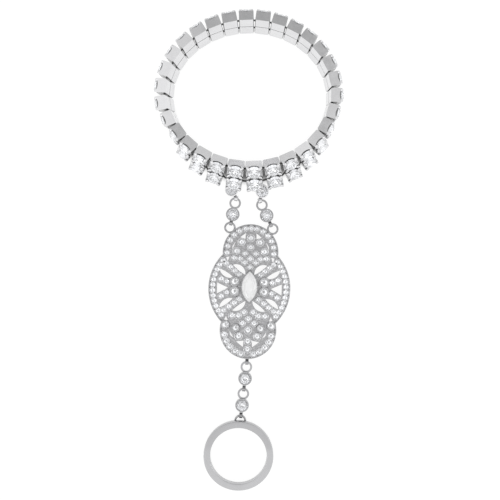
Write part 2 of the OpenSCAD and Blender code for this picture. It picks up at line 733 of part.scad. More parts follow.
cup_link(0);  // cup_link_01
cup_link(1);  // cup_link_02
cup_link(2);  // cup_link_03
cup_link(3);  // cup_link_04
cup_link(4);  // cup_link_05
cup_link(5);  // cup_link_06
cup_link(6);  // cup_link_07
cup_link(7);  // cup_link_08
cup_link(8);  // cup_link_09
cup_link(9);  // cup_link_10
cup_link(10);  // cup_link_11
cup_link(11);  // cup_link_12
cup_link(12);  // cup_link_13
cup_link(13);  // cup_link_14
cup_link(14);  // cup_link_15
cup_link(15);  // cup_link_16
cup_link(16);  // cup_link_17
cup_link(17);  // cup_link_18
cup_link(18);  // cup_link_19
cup_link(19);  // cup_link_20
cup_link(20);  // cup_link_21
cup_link(21);  // cup_link_22
cup_link(22);  // cup_link_23
cup_link(23);  // cup_link_24
cup_link(24);  // cup_link_25
cup_link(25);  // cup_link_26
cup_link(26);  // cup_link_27
cup_link(27);  // cup_link_28
cup_link(28);  // cup_link_29
cup_link(29);  // cup_link_30
row_stones(row_u);  // upper_row_stones
row_stones(-row_u);  // lower_row_stones
elastic(row_u);  // upper_elastic
elastic(-row_u);  // lower_elastic
left_connector();
right_connector();
upper_drop();
lower_drop();
connector_stones();
plaque();
marquise_stone();
accent_stones();
pave_stones();
finger_ring();
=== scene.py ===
"""Looks of the hand chain bracelet, dressed over its packed solids. Lengths are in metres."""

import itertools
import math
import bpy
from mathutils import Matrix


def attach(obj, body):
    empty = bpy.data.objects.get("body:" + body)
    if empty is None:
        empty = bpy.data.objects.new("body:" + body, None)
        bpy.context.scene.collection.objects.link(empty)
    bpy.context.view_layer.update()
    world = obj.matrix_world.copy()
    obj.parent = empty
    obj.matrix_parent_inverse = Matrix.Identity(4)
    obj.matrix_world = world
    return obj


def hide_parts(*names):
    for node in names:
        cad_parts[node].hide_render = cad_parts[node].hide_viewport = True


bl_info = {
    "name": "Hand chain bracelet",
    "version": (1, 0, 0),
    "blender": (4, 5, 0),
    "location": "View3D > Sidebar > Bracelet",
    "description": "Dresses a stone-set stretch bracelet, its plaque, chain and finger ring",
    "category": "Add Mesh",
}

import bmesh
import bpy
from bpy.props import FloatProperty, FloatVectorProperty, IntProperty, PointerProperty
from mathutils import Matrix, Vector

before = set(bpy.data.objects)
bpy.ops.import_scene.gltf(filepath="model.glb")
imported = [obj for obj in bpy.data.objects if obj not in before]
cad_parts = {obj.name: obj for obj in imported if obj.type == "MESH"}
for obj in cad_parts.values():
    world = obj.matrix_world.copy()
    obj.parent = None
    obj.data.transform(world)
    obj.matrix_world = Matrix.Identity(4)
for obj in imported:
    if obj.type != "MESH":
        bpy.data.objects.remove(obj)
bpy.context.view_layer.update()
MM = 0.001


def length(name, text, millimetres):
    return FloatProperty(name=name, description=text, default=millimetres * MM, unit="LENGTH", precision=6)


def turn(name, text, degrees):
    return FloatProperty(name=name, description=text, default=math.radians(degrees), subtype="ANGLE")


def ratio(name, text, value):
    return FloatProperty(name=name, description=text, default=value, precision=3)


def colour(name, text, value):
    return FloatVectorProperty(name=name, description=text, default=value, size=3,
                               subtype="COLOR", min=0, max=1)


class RowSizes(bpy.types.PropertyGroup):
    """Sizes of the double row of cups"""

    links: IntProperty(name="Links", description="Double cups in the row", default=30, min=12)
    cup_w: length("Cup width", "Width of one box cup at the sides", 4.27)
    cup_h: length("Cup height", "Height of one box cup", 4.55)
    link_h: length("Link height", "Height of one link of two cups", 9.3)
    cup_depth: length("Cup depth", "From a link's back to the rim of its cups", 3)
    prong_h: length("Prong height", "Height of a prong above the cup's rim", 0.35)
    gap: length("Link gap", "Gap between two links at their backs", 0.1)
    front_grow: ratio("Front growth", "How much wider the front links are", 0.16)
    back_grow: ratio("Back growth", "How much wider the back links are", 0.04)
    oval: ratio("Oval", "Depth of the wrist oval as a share of its width", 0.85)
    shift: ratio("Row shift", "Where the row starts, in links", -0.28)
    front_lift: length("Front lift", "How far the front of the row stands off the surface", 2.25855)
    front_lean: turn("Front lean", "Lean of the front links", 49)
    right_lean: turn("Right lean", "Lean of the right-hand links", -5)
    back_lean: turn("Back lean", "Lean of the back links", -13)
    left_lean: turn("Left lean", "Lean of the left-hand links", -11)
    cup_pitch: length("Cup pitch", "From a link's middle to the middle of each cup", 2.375)


class StoneSizes(bpy.types.PropertyGroup):
    """Sizes of the cut stones and of what holds them"""

    cup_stone_r: length("Cup stone radius", "Girdle radius of a cup stone", 2.18)
    front_more: length("Front stone growth", "Radius that the front stones have more", 0.12)
    cup_stone_rise: length("Cup stone rise", "Girdle of a cup stone above the cup's rim", 0.2)
    claw_in: length("Claw place", "From a cup's sides in to a claw", 0.4)
    claw_rise: length("Claw rise", "Foot of a claw above the cup's rim", 0.3)
    claw_h: length("Claw height", "Height of a claw, which its other sizes follow", 1)
    bezel_stone_r: length("Bezel stone radius", "Girdle radius of the chain's stones", 1.74)
    bezel_stone_sink: length("Bezel stone depth", "From a bezel stone's table down to its girdle", 0.5)
    pave_r: length("Small stone radius", "Girdle radius of the plaque's small stones", 0.8)
    pave_rise: length("Small stone rise", "Girdle of a small stone above the plaque", 0.05)
    grain_r: length("Grain radius", "Radius of the grains that hold the small stones", 0.17)
    grain_out: length("Grain place", "From a small stone's girdle out to a grain", 0.12)
    grain_rise: length("Grain rise", "Middle of a grain above the plaque", 0.1)
    accent_more: length("Accent growth", "Radius that an accent has more than its solid", 0.14)
    accent_rise: length("Accent rise", "Girdle of an accent above the plaque", 0.34)
    marquise_more: length("Marquise growth", "Length and width that it has more than its solid", 0.2)
    marquise_rise: length("Marquise rise", "Where the marquise starts above the plaque", 0.5)


class PlaqueSizes(bpy.types.PropertyGroup):
    """Sizes of the plaque, as in its solid"""

    away: length("Away", "From the wrist opening's middle to the plaque's", 59.0437)
    aside: length("Aside", "The plaque's middle to the right of the wrist opening's", -0.2)
    angle: turn("Turn", "How far the plaque lies turned", -1.9)
    thick: length("Thickness", "Thickness of the bent plate", 1.2)
    bend: length("Bend", "Radius of the crosswise bend", 62)
    bend_drop: length("Bend drop", "Rise of the bend at the middle", 1.31466)
    half_w: length("Half width", "Half the middle lobe's width", 12.7)
    side_r: length("Side radius", "Radius of the middle lobe's sides", 15)
    upper_r: length("Upper lobe radius", "Radius of the upper lobe", 8.6)
    upper_away: length("Upper lobe place", "Upper lobe's middle above the plaque's", 11.3)
    lower_r: length("Lower lobe radius", "Radius of the lower lobe", 8.75)
    lower_away: length("Lower lobe place", "Lower lobe's middle below the plaque's", 12.9)
    border_in: length("Border", "Border stones inside the edge", 1.2)
    marquise_l: length("Marquise length", "Length of the marquise", 9.2)
    marquise_w: length("Marquise width", "Width of the marquise", 4.5)
    marquise_wall: length("Marquise wall", "Width of the marquise's bezel", 0.35)
    marquise_up: length("Marquise place", "Marquise's middle above the plaque's", 0.6)
    accent_r: length("Accent radius", "Radius of the larger round stones", 1.4)
    accent_wall: length("Accent wall", "Width of an accent's bezel", 0.2)
    accent_away: length("Accent place", "From the marquise's bezel to an accent's", 0.4)


class RingSizes(bpy.types.PropertyGroup):
    """Sizes of the finger ring, as in its solid"""

    bore_r: length("Bore radius", "Inside radius of the band", 8.75)
    wall: length("Wall", "Thickness of the band", 2)
    height: length("Height", "Width of the band along the finger", 2.6)
    edge: length("Edge", "Rounding of the band's edges", 0.14)
    x: length("Middle across", "The band's middle to the right of the wrist opening's", -3.57253)
    y: length("Middle along", "The band's middle above the wrist opening's", -110.483)
    spin: turn("Turn", "How far the band and its eyelet lie turned", -3)
    tilt: turn("Tilt", "How far its eyelet lifts the band", 2.76475)
    eyelet_x: length("Eyelet across", "The eyelet's middle to the right of the wrist opening's", -3.023)
    eyelet_y: length("Eyelet along", "The eyelet's middle above the wrist opening's", -99.9972)
    eyelet_z: length("Eyelet height", "Height of the eyelets' middles", 0.86)
    eyelet_r: length("Eyelet radius", "Outside radius of its eyelet", 1.85)
    wire_w: length("Wire width", "Width of the eyelet's metal", 0.6)
    wire_t: length("Wire thickness", "Thickness of the eyelet's metal", 0.45)
    wire_edge: length("Wire edge", "Rounding of the eyelet's edges", 0.12)


class Finishes(bpy.types.PropertyGroup):
    """Colours of the finishes"""

    plate: colour("Plating", "Bright plated metal", (0.765, 0.765, 0.775))
    chain: colour("Chain", "Plated metal of the chain", (0.44, 0.44, 0.45))
    cast: colour("Casting", "Plated cast metal", (0.46, 0.46, 0.47))
    rim: colour("Rims", "Polished rims round the small stones", (0.86, 0.86, 0.87))
    band: colour("Band", "Brushed band", (0.52, 0.52, 0.53))
    # Painted shade: tone of the band's half by its eyelet, which is painted darker
    band_painted_shade: ratio("Dull share", "Tone of the band's duller half", 0.9)
    crystal: colour("Crystal", "Clear cut stones", (0.97, 0.975, 0.985))
    milky: colour("Marquise", "Milky marquise stone", (0.86, 0.86, 0.86))
    foil: colour("Foil", "Foil behind the stones", (0.9, 0.905, 0.92))
    elastic: colour("Elastic", "Clear stretch cord", (0.42, 0.42, 0.41))
    floor: colour("Floor", "Surface under the jewel", (0.15, 0.15, 0.15))


def sizes(name):
    """The scene's sizes or colours of one group"""
    return getattr(bpy.context.scene, "jewel_" + name)


# Materials

NOISE_LOW, NOISE_HIGH = 0.3, 0.7


def new_material(name):
    """Material with its tree and shader, or with None for both where it is made already"""
    material = bpy.data.materials.get(name)
    if material:
        return material, None, None
    material = bpy.data.materials.new(name)
    material.use_nodes = True
    tree = material.node_tree
    return material, tree, tree.nodes["Principled BSDF"]


def add(tree, kind, **values):
    """New node, each value going to its setting or else to its input"""
    node = tree.nodes.new(kind)
    for key, value in values.items():
        if hasattr(node, key):
            setattr(node, key, value)
        else:
            node.inputs[key].default_value = value
    return node


def object_noise(tree, scale, detail=3.0, stretch=(1, 1, 1)):
    """Noise on Object coordinates, stretched along an axis where the finish has a grain"""
    place = add(tree, "ShaderNodeTexCoord")
    mapping = add(tree, "ShaderNodeMapping")
    mapping.inputs["Scale"].default_value = stretch
    noise = add(tree, "ShaderNodeTexNoise", Scale=scale, Detail=detail)
    tree.links.new(place.outputs["Object"], mapping.inputs["Vector"])
    tree.links.new(mapping.outputs["Vector"], noise.inputs["Vector"])
    return noise


def span(tree, source, low, high):
    """Spreads a noise over a range of values"""
    part = add(tree, "ShaderNodeMapRange")
    ends = (("From Min", NOISE_LOW), ("From Max", NOISE_HIGH), ("To Min", low), ("To Max", high))
    for key, number in ends:
        part.inputs[key].default_value = number
    tree.links.new(source, part.inputs["Value"])
    return part.outputs["Result"]


def shades(tree, source, base, dark):
    """Spreads a noise between a colour and a darker share of it"""
    ramp = add(tree, "ShaderNodeValToRGB")
    for element, place, tone in zip(ramp.color_ramp.elements, (NOISE_LOW, NOISE_HIGH), (dark, 1)):
        element.position = place
        element.color = (*[c * tone for c in base], 1)
    tree.links.new(source, ramp.inputs["Fac"])
    return ramp.outputs["Color"]


def bump(tree, shader, source, strength, distance):
    """Fine relief of a surface, its depth being a distance in metres"""
    node = add(tree, "ShaderNodeBump", Strength=strength, Distance=distance)
    tree.links.new(source, node.inputs["Height"])
    tree.links.new(node.outputs["Normal"], shader.inputs["Normal"])


def soft_step(tree, value, low, high, start, end):
    """Goes smoothly from start to end while a value goes from low to high"""
    step = add(tree, "ShaderNodeMapRange", interpolation_type="SMOOTHSTEP")
    for key, number in (("From Min", low), ("From Max", high), ("To Min", start), ("To Max", end)):
        step.inputs[key].default_value = number
    tree.links.new(value, step.inputs["Value"])
    return step.outputs["Result"]


def worked(tree, operation, first, second):
    """Result of a sum on two outputs or numbers"""
    node = add(tree, "ShaderNodeMath", operation=operation)
    for socket, value in zip(node.inputs, (first, second)):
        if isinstance(value, float):
            socket.default_value = value
        else:
            tree.links.new(value, socket)
    return node.outputs["Value"]


def painted_crevice_shade(tree, colour, reach, depth):
    """Painted shade: darkens a colour by ambient occlusion in narrow gaps, where shade falls"""
    near = add(tree, "ShaderNodeAmbientOcclusion", samples=8, Distance=reach)
    tone = add(tree, "ShaderNodeMapRange")
    for key, value in (("From Min", 0.2), ("From Max", 0.7), ("To Min", depth), ("To Max", 1.0)):
        tone.inputs[key].default_value = value
    mix = add(tree, "ShaderNodeMix", data_type="RGBA", blend_type="MULTIPLY")
    mix.inputs["Factor"].default_value = 1
    join = tree.links.new
    join(near.outputs["AO"], tone.inputs["Value"])
    join(colour, mix.inputs[6])
    join(tone.outputs["Result"], mix.inputs[7])
    return mix.outputs[2]


def metal_finish(name, base, dark, rough, grain, stretch=(1, 1, 1), relief=0.05,
                 reach=2.4 * MM, depth=0.04):
    """Plated metal: tone and gloss vary a little, with fine rubbing marks and painted shade in its crevices
    """
    material, tree, shader = new_material(name)
    if tree is None:
        return material
    shader.inputs["Metallic"].default_value = 1
    broad = object_noise(tree, scale=160)
    fine = object_noise(tree, grain, detail=5, stretch=stretch)
    tone = shades(tree, broad.outputs["Fac"], base, dark)
    # Painted shade: the colour is darkened in crevices unless depth is 1
    tree.links.new(painted_crevice_shade(tree, tone, reach, depth) if depth < 1 else tone, shader.inputs["Base Color"])
    tree.links.new(span(tree, fine.outputs["Fac"], *rough), shader.inputs["Roughness"])
    bump(tree, shader, fine.outputs["Fac"], relief, distance=0.02 * MM)
    return material


def crystal_finish():
    """Clear cut stone with a faint cloud in it"""
    material, tree, shader = new_material("clear_cut_crystal")
    if tree is None:
        return material
    base = sizes("finishes").crystal
    shader.inputs["Transmission Weight"].default_value = 0.86
    shader.inputs["IOR"].default_value = 1.56
    noise = object_noise(tree, scale=300)
    tree.links.new(shades(tree, noise.outputs["Fac"], base, dark=0.97), shader.inputs["Base Color"])
    tree.links.new(span(tree, noise.outputs["Fac"], low=0.0, high=0.02), shader.inputs["Roughness"])
    return material


def milky_finish():
    """Opal-white cut stone, clear on its face and cloudy inside"""
    material, tree, shader = new_material("milky_crystal")
    if tree is None:
        return material
    base = sizes("finishes").milky
    shader.inputs["Transmission Weight"].default_value = 0.45
    shader.inputs["IOR"].default_value = 1.55
    # Painted light: a faint glow that makes the marquise brighter, though it is no lamp
    shader.inputs["Emission Color"].default_value = (1, 1, 1, 1)
    shader.inputs["Emission Strength"].default_value = 0.06
    shader.inputs["Coat Weight"].default_value = 0.6
    noise = object_noise(tree, scale=260)
    tree.links.new(shades(tree, noise.outputs["Fac"], base, dark=0.93), shader.inputs["Base Color"])
    tree.links.new(span(tree, noise.outputs["Fac"], low=0.04, high=0.12), shader.inputs["Roughness"])
    return material


def foil_finish(name="stone_foil", glow=0.17):
    """Bright foil behind the stones, with a painted glow that stands in for the light that many facets send
    back
    """
    base = sizes("finishes").foil
    foil = metal_finish(name, base, dark=0.88, rough=(0.03, 0.09), grain=900, depth=1)
    shader = foil.node_tree.nodes["Principled BSDF"]
    # Painted light: the foil glows though it is no lamp
    shader.inputs["Emission Color"].default_value = (1, 1, 1, 1)
    shader.inputs["Emission Strength"].default_value = glow
    return foil


def small_foil_finish():
    return foil_finish("small_stone_foil", glow=0.22)


def chain_foil_finish():
    return foil_finish("chain_stone_foil", glow=0.1)


def plate_finish():
    base = sizes("finishes").plate
    return metal_finish("bright_plating", base, dark=0.93, rough=(0.14, 0.26), grain=700)


def chain_finish():
    base = sizes("finishes").chain
    # reach and depth set the painted shade in the chain's crevices
    return metal_finish("chain_plating", base, dark=0.85, rough=(0.12, 0.2), grain=700,
                        reach=0.8 * MM, depth=0.2)


def cast_finish():
    """Plated casting with a finely pebbled face, with painted shade in the hollows between the pebbles and
    in its crevices
    """
    base = sizes("finishes").cast
    material, tree, shader = new_material("plated_casting")
    if tree is None:
        return material
    shader.inputs["Metallic"].default_value = 1
    place = add(tree, "ShaderNodeTexCoord")
    cells = add(tree, "ShaderNodeTexVoronoi", feature="SMOOTH_F1", Scale=1500, Smoothness=0.35)
    tree.links.new(place.outputs["Object"], cells.inputs["Vector"])
    fine = object_noise(tree, scale=1200, detail=5)
    pebble = add(tree, "ShaderNodeMapRange")
    for key, value in (("From Min", 0.15), ("From Max", 0.62), ("To Min", 1.0), ("To Max", 0.0)):
        pebble.inputs[key].default_value = value
    tree.links.new(cells.outputs["Distance"], pebble.inputs["Value"])
    # Painted shade: darker in the hollows between the pebbles
    tone = shades(tree, pebble.outputs["Result"], base, dark=0.8)
    # Painted shade in the casting's crevices
    tree.links.new(painted_crevice_shade(tree, tone, reach=0.9 * MM, depth=0.05), shader.inputs["Base Color"])
    tree.links.new(span(tree, fine.outputs["Fac"], low=0.18, high=0.34), shader.inputs["Roughness"])
    bump(tree, shader, pebble.outputs["Result"], strength=0.25, distance=0.1 * MM)
    return material


def rim_finish():
    base = sizes("finishes").rim
    # reach and depth set the painted shade round the rims
    return metal_finish("bright_rims", base, dark=0.95, rough=(0.12, 0.2), grain=800,
                        reach=0.4 * MM, depth=0.25)


def band_finish():
    """Brushed metal, with painted shade that darkens the half of the band by its eyelet"""
    ready = bpy.data.materials.get("brushed_band_metal")
    if ready:
        return ready
    finishes = sizes("finishes")
    band = metal_finish("brushed_band_metal", finishes.band, dark=0.94, rough=(0.24, 0.36), grain=900,
                        stretch=(0.15, 0.15, 3), relief=0.08)
    tree = band.node_tree
    shader = tree.nodes["Principled BSDF"]
    split = add(tree, "ShaderNodeSeparateXYZ")
    tree.links.new(add(tree, "ShaderNodeTexCoord").outputs["Object"], split.inputs["Vector"])
    # Painted shade: the half of the band by its eyelet is darkened
    bright_end = sizes("ring").y + 0.5 * MM
    shade_start = bright_end + 3 * MM
    band_shade = soft_step(tree, split.outputs["Y"], bright_end, shade_start, 1.0, finishes.band_painted_shade)
    tone = add(tree, "ShaderNodeVectorMath", operation="SCALE")
    tree.links.new(shader.inputs["Base Color"].links[0].from_socket, tone.inputs[0])
    tree.links.new(band_shade, tone.inputs["Scale"])
    tree.links.new(tone.outputs["Vector"], shader.inputs["Base Color"])
    return band


def elastic_finish():
    material, tree, shader = new_material("clear_elastic")
    if tree is None:
        return material
    base = sizes("finishes").elastic
    shader.inputs["Transmission Weight"].default_value = 0.5
    shader.inputs["IOR"].default_value = 1.42
    noise = object_noise(tree, scale=900)
    tone = shades(tree, noise.outputs["Fac"], base, dark=0.94)
    # Painted shade: the cord's colour is darkened where it runs in narrow gaps
    tree.links.new(painted_crevice_shade(tree, tone, reach=2 * MM, depth=0.06), shader.inputs["Base Color"])
    tree.links.new(span(tree, noise.outputs["Fac"], low=0.2, high=0.35), shader.inputs["Roughness"])
    return material


# Meshes

def link_up(name, mesh):
    """Object of a mesh, put into the scene"""
    piece = bpy.data.objects.new(name, mesh)
    bpy.context.scene.collection.objects.link(piece)
    return piece


def mesh_piece(name, points, faces, smooth=False):
    mesh = bpy.data.meshes.new(name)
    mesh.from_pydata([tuple(p) for p in points], [], faces)
    mesh.update()
    for face in mesh.polygons:
        face.use_smooth = smooth
    return link_up(name, mesh)


def cut_stone(name, table, crown, girdle, pavilion):
    """Brilliant of girdle radius 1: table, stars, kites, upper and lower girdle facets, culet"""
    def round_about(r, z, count, offset=0.0):
        return [(r * math.cos(a), r * math.sin(a), z)
                for a in ((k + offset) * 2 * math.pi / count for k in range(count))]

    star_r = 0.5 * (1 + table) + 0.02
    star_z = crown * (1 - star_r * math.cos(math.pi / 8)) / (1 - table)
    low_r = 0.34
    low_z = -girdle - pavilion * (1 - low_r * math.cos(math.pi / 8))
    points = round_about(table, crown, 8) + round_about(star_r, star_z, 8, 0.5)
    points += round_about(1, 0, 16) + round_about(1, -girdle, 16)
    points += round_about(low_r, low_z, 8, 0.5) + [(0, 0, -girdle - pavilion)]
    top, star, upper, lower, mid, culet = 0, 8, 16, 32, 48, 56
    faces = [list(range(8))]
    for k in range(8):
        n = (k + 1) % 8
        a, b, c = 2 * k, (2 * k + 1) % 16, (2 * k + 2) % 16
        faces += [
            [top + k, star + k, top + n],
            [top + n, star + k, upper + c, star + n],
            [star + k, upper + a, upper + b],
            [star + k, upper + b, upper + c],
            [upper + a, lower + a, lower + b, upper + b],
            [upper + b, lower + b, lower + c, upper + c],
            [mid + k, lower + b, lower + a],
            [mid + k, lower + c, lower + b],
            [culet, mid + n, lower + c, mid + k],
        ]
    return mesh_piece(name, points, faces)


def mark_foil(stone, below):
    """Face attribute that tells the foiled back from the clear crown"""
    foil = stone.data.attributes.new("foiled", "BOOLEAN", "FACE")
    for face in stone.data.polygons:
        foil.data[face.index].value = face.center.z < below


def bent_claw(name):
    """Claw tip of height 1 that bends over a stone lying towards +X"""
    count = 10
    rings = [  # x, z, half thickness, half width and lean of each ring along the claw
        (0.06, -0.7, 0.4, 0.42, 0), (0.1, -0.25, 0.42, 0.44, 0.1), (0.2, 0.02, 0.42, 0.45, 0.4),
        (0.4, 0.22, 0.36, 0.42, 0.85), (0.62, 0.32, 0.27, 0.36, 1.3), (0.84, 0.34, 0.17, 0.26, 1.6),
        (0.95, 0.33, 0.06, 0.1, 1.8)]
    points = []
    for x, z, thick, wide, lean in rings:
        for k in range(count):
            a = k * 2 * math.pi / count
            inward = thick * math.cos(a)
            points.append((x + inward * math.cos(lean), wide * math.sin(a), z - inward * math.sin(lean)))
    faces = []
    for start in range(0, (len(rings) - 1) * count, count):
        for k in range(count):
            n = (k + 1) % count
            faces.append([start + k, start + n, start + count + n, start + count + k])
    faces.append(list(reversed(range(count))))
    faces.append(list(range(len(points) - count, len(points))))
    return mesh_piece(name, points, faces, smooth=True)


def collar(name):
    """Rim of metal round a small stone: inner radius 1.04, outer 1.3, in shares of the stone's radius"""
    profile = [(1.3, -0.3), (1.28, 0.08), (1.2, 0.2), (1.1, 0.2), (1.05, 0.1), (1.04, -0.3)]
    points, faces = turned_ring(profile, count=18)
    return mesh_piece(name, points, faces, smooth=True)


def turned_ring(outline, count):
    """Points and faces of a closed outline, listed anticlockwise as radius and height, turned about Z"""
    n = len(outline)
    points, faces = [], []
    for k in range(count):
        a = k * 2 * math.pi / count
        points += [Vector((r * math.cos(a), r * math.sin(a), z)) for r, z in outline]
        start, after = k * n, (k + 1) % count * n
        for i in range(n):
            j = (i + 1) % n
            faces.append([start + i, after + i, after + j, start + j])
    return points, faces


def eased_box(inner, outer, low, high, edge):
    """Outline of a square-edged ring with its four corners rounded"""
    outline = []
    for r, z, start in ((inner + edge, low + edge, 180), (outer - edge, low + edge, 270),
                        (outer - edge, high - edge, 0), (inner + edge, high - edge, 90)):
        for k in range(4):
            a = math.radians(start + 30 * k)
            outline.append((r + edge * math.cos(a), z + edge * math.sin(a)))
    return outline


def grain_bead(name):
    """Small round bead of radius 1"""
    mesh = bpy.data.meshes.new(name)
    bm = bmesh.new()
    bmesh.ops.create_icosphere(bm, subdivisions=1, radius=1)
    bm.to_mesh(mesh)
    bm.free()
    for face in mesh.polygons:
        face.use_smooth = True
    return link_up(name, mesh)


def mesh_islands(mesh):
    """Loose parts of a mesh of loose triangles, found by where their corners meet"""
    keys, parents = {}, list(range(len(mesh.vertices)))

    def root(k):
        while parents[k] != k:
            parents[k] = parents[parents[k]]
            k = parents[k]
        return k

    for vertex in mesh.vertices:
        key = tuple(round(c * 1e6) for c in vertex.co)
        parents[root(vertex.index)] = root(keys.setdefault(key, vertex.index))
    for face in mesh.polygons:
        first = face.vertices[0]
        for other in face.vertices[1:]:
            parents[root(other)] = root(first)
    groups = {}
    for vertex in mesh.vertices:
        groups.setdefault(root(vertex.index), []).append(vertex.index)
    return list(groups.values())


def crown_and_aim(mesh, island):
    """Middle and direction of a stone's table, which is its widest flat"""
    flats = {}
    for face in mesh.polygons:
        if face.vertices[0] in island:
            flats.setdefault(tuple(round(c, 2) for c in face.normal), []).append(face)
    table = max(flats.values(), key=lambda flat: sum(face.area for face in flat))
    area = sum(face.area for face in table)
    return sum((face.center * face.area for face in table), Vector()) / area, table[0].normal.copy()


def marquise_outline(l, w, count, shift):
    """Points on two arcs that meet at the tips, from which a shifted outline keeps a little away"""
    radius = (l * l / 4 + w * w / 4) / w
    reach = l / 2 if shift == 0 else l / 2 * 0.99
    ring = []
    for k in range(count):
        t = (k + shift) / count * 2 * math.pi
        y = math.sin(t) * reach
        x = math.sqrt(max(0, radius * radius - y * y)) - (radius - w / 2)
        at_tip = abs(math.cos(t)) < 1e-6
        ring.append((0.0 if at_tip else math.copysign(x, math.cos(t)), y))
    return ring


def setting_tree():
    """Sets one cut or metal shape on every point, aimed by the point's own directions and size"""
    tree = bpy.data.node_groups.get("Set on points")
    if tree:
        return tree
    tree = bpy.data.node_groups.new("Set on points", "GeometryNodeTree")
    interface = tree.interface
    interface.new_socket(name="Geometry", in_out="INPUT", socket_type="NodeSocketGeometry")
    for label, kind in (
        ("Shape", "Object"), ("Size", "Float"), ("Finish", "Material"), ("Back finish", "Material"),
    ):
        interface.new_socket(name=label, in_out="INPUT", socket_type="NodeSocket" + kind)
    interface.new_socket(name="Geometry", in_out="OUTPUT", socket_type="NodeSocketGeometry")
    inputs = add(tree, "NodeGroupInput")
    output = add(tree, "NodeGroupOutput")
    shape = add(tree, "GeometryNodeObjectInfo")
    place = add(tree, "GeometryNodeInstanceOnPoints")
    realize = add(tree, "GeometryNodeRealizeInstances")
    front = add(tree, "GeometryNodeSetMaterial")
    back = add(tree, "GeometryNodeSetMaterial")
    foiled = add(tree, "GeometryNodeInputNamedAttribute", data_type="BOOLEAN", Name="foiled")
    aim, side, share = (add(tree, "GeometryNodeInputNamedAttribute", data_type="FLOAT_VECTOR", Name=label)
                        for label in ("aim", "side", "share"))
    face_up = add(tree, "FunctionNodeAlignRotationToVector", axis="Z")
    face_side = add(tree, "FunctionNodeAlignRotationToVector", axis="X", pivot_axis="Z")
    scale = add(tree, "ShaderNodeVectorMath", operation="SCALE")
    join = tree.links.new
    join(inputs.outputs["Shape"], shape.inputs["Object"])
    join(aim.outputs["Attribute"], face_up.inputs["Vector"])
    join(face_up.outputs["Rotation"], face_side.inputs["Rotation"])
    join(side.outputs["Attribute"], face_side.inputs["Vector"])
    join(share.outputs["Attribute"], scale.inputs[0])
    join(inputs.outputs["Size"], scale.inputs["Scale"])
    join(inputs.outputs["Geometry"], place.inputs["Points"])
    join(shape.outputs["Geometry"], place.inputs["Instance"])
    join(face_side.outputs["Rotation"], place.inputs["Rotation"])
    join(scale.outputs["Vector"], place.inputs["Scale"])
    join(place.outputs["Instances"], realize.inputs["Geometry"])
    join(realize.outputs["Geometry"], front.inputs["Geometry"])
    join(inputs.outputs["Finish"], front.inputs["Material"])
    join(front.outputs["Geometry"], back.inputs["Geometry"])
    join(foiled.outputs["Attribute"], back.inputs["Selection"])
    join(inputs.outputs["Back finish"], back.inputs["Material"])
    join(back.outputs["Geometry"], output.inputs["Geometry"])
    return tree


def set_on_points(name, places, shape, size, finish, back):
    """Plain mesh of a shape at every place: a point, an aim, a side and a share of the size"""
    mesh = bpy.data.meshes.new(name + "_places")
    mesh.from_pydata([tuple(p[0]) for p in places], [], [])
    for label, index in (("aim", 1), ("side", 2)):
        values = mesh.attributes.new(label, "FLOAT_VECTOR", "POINT")
        for k, place in enumerate(places):
            values.data[k].vector = place[index]
    shares = mesh.attributes.new("share", "FLOAT_VECTOR", "POINT")
    for k, place in enumerate(places):
        share = place[3]
        shares.data[k].vector = share if isinstance(share, tuple) else (share, share, share)
    points = link_up(name + "_places", mesh)
    modifier = points.modifiers.new("Setting", "NODES")
    modifier.node_group = setting_tree()
    given = {"Shape": shape, "Size": size, "Finish": finish, "Back finish": back}
    for socket in modifier.node_group.interface.items_tree:
        if socket.in_out == "INPUT" and socket.name in given:
            modifier[socket.identifier] = given[socket.name]
    bpy.context.view_layer.update()
    graph = bpy.context.evaluated_depsgraph_get()
    made = bpy.data.meshes.new_from_object(points.evaluated_get(graph))
    made.name = name
    bpy.data.objects.remove(points)
    if not made.polygons:
        raise RuntimeError(name + " came out empty")
    return link_up(name, made)


def drop_source(shape):
    """Removes a shape that stood only for its copies"""
    bpy.data.objects.remove(shape)


def finished(piece, slot, *nodes):
    """Hangs a piece under the root body and hides the solids that it stands for"""
    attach(piece, "root")
    if nodes:
        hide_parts(*nodes)
    return piece


# Places on the row of links

def row_oval():
    """Half lengths of the oval that the backs of the links touch"""
    s = sizes("row")
    row_len = s.links * (s.cup_w + s.gap) * (1 + (s.front_grow + s.back_grow) / 4)
    h = ((1 - s.oval) / (1 + s.oval)) ** 2
    rim_a = row_len / (math.pi * (1 + s.oval) * (1 + 3 * h / (10 + math.sqrt(4 - 3 * h))))
    return rim_a, rim_a * s.oval


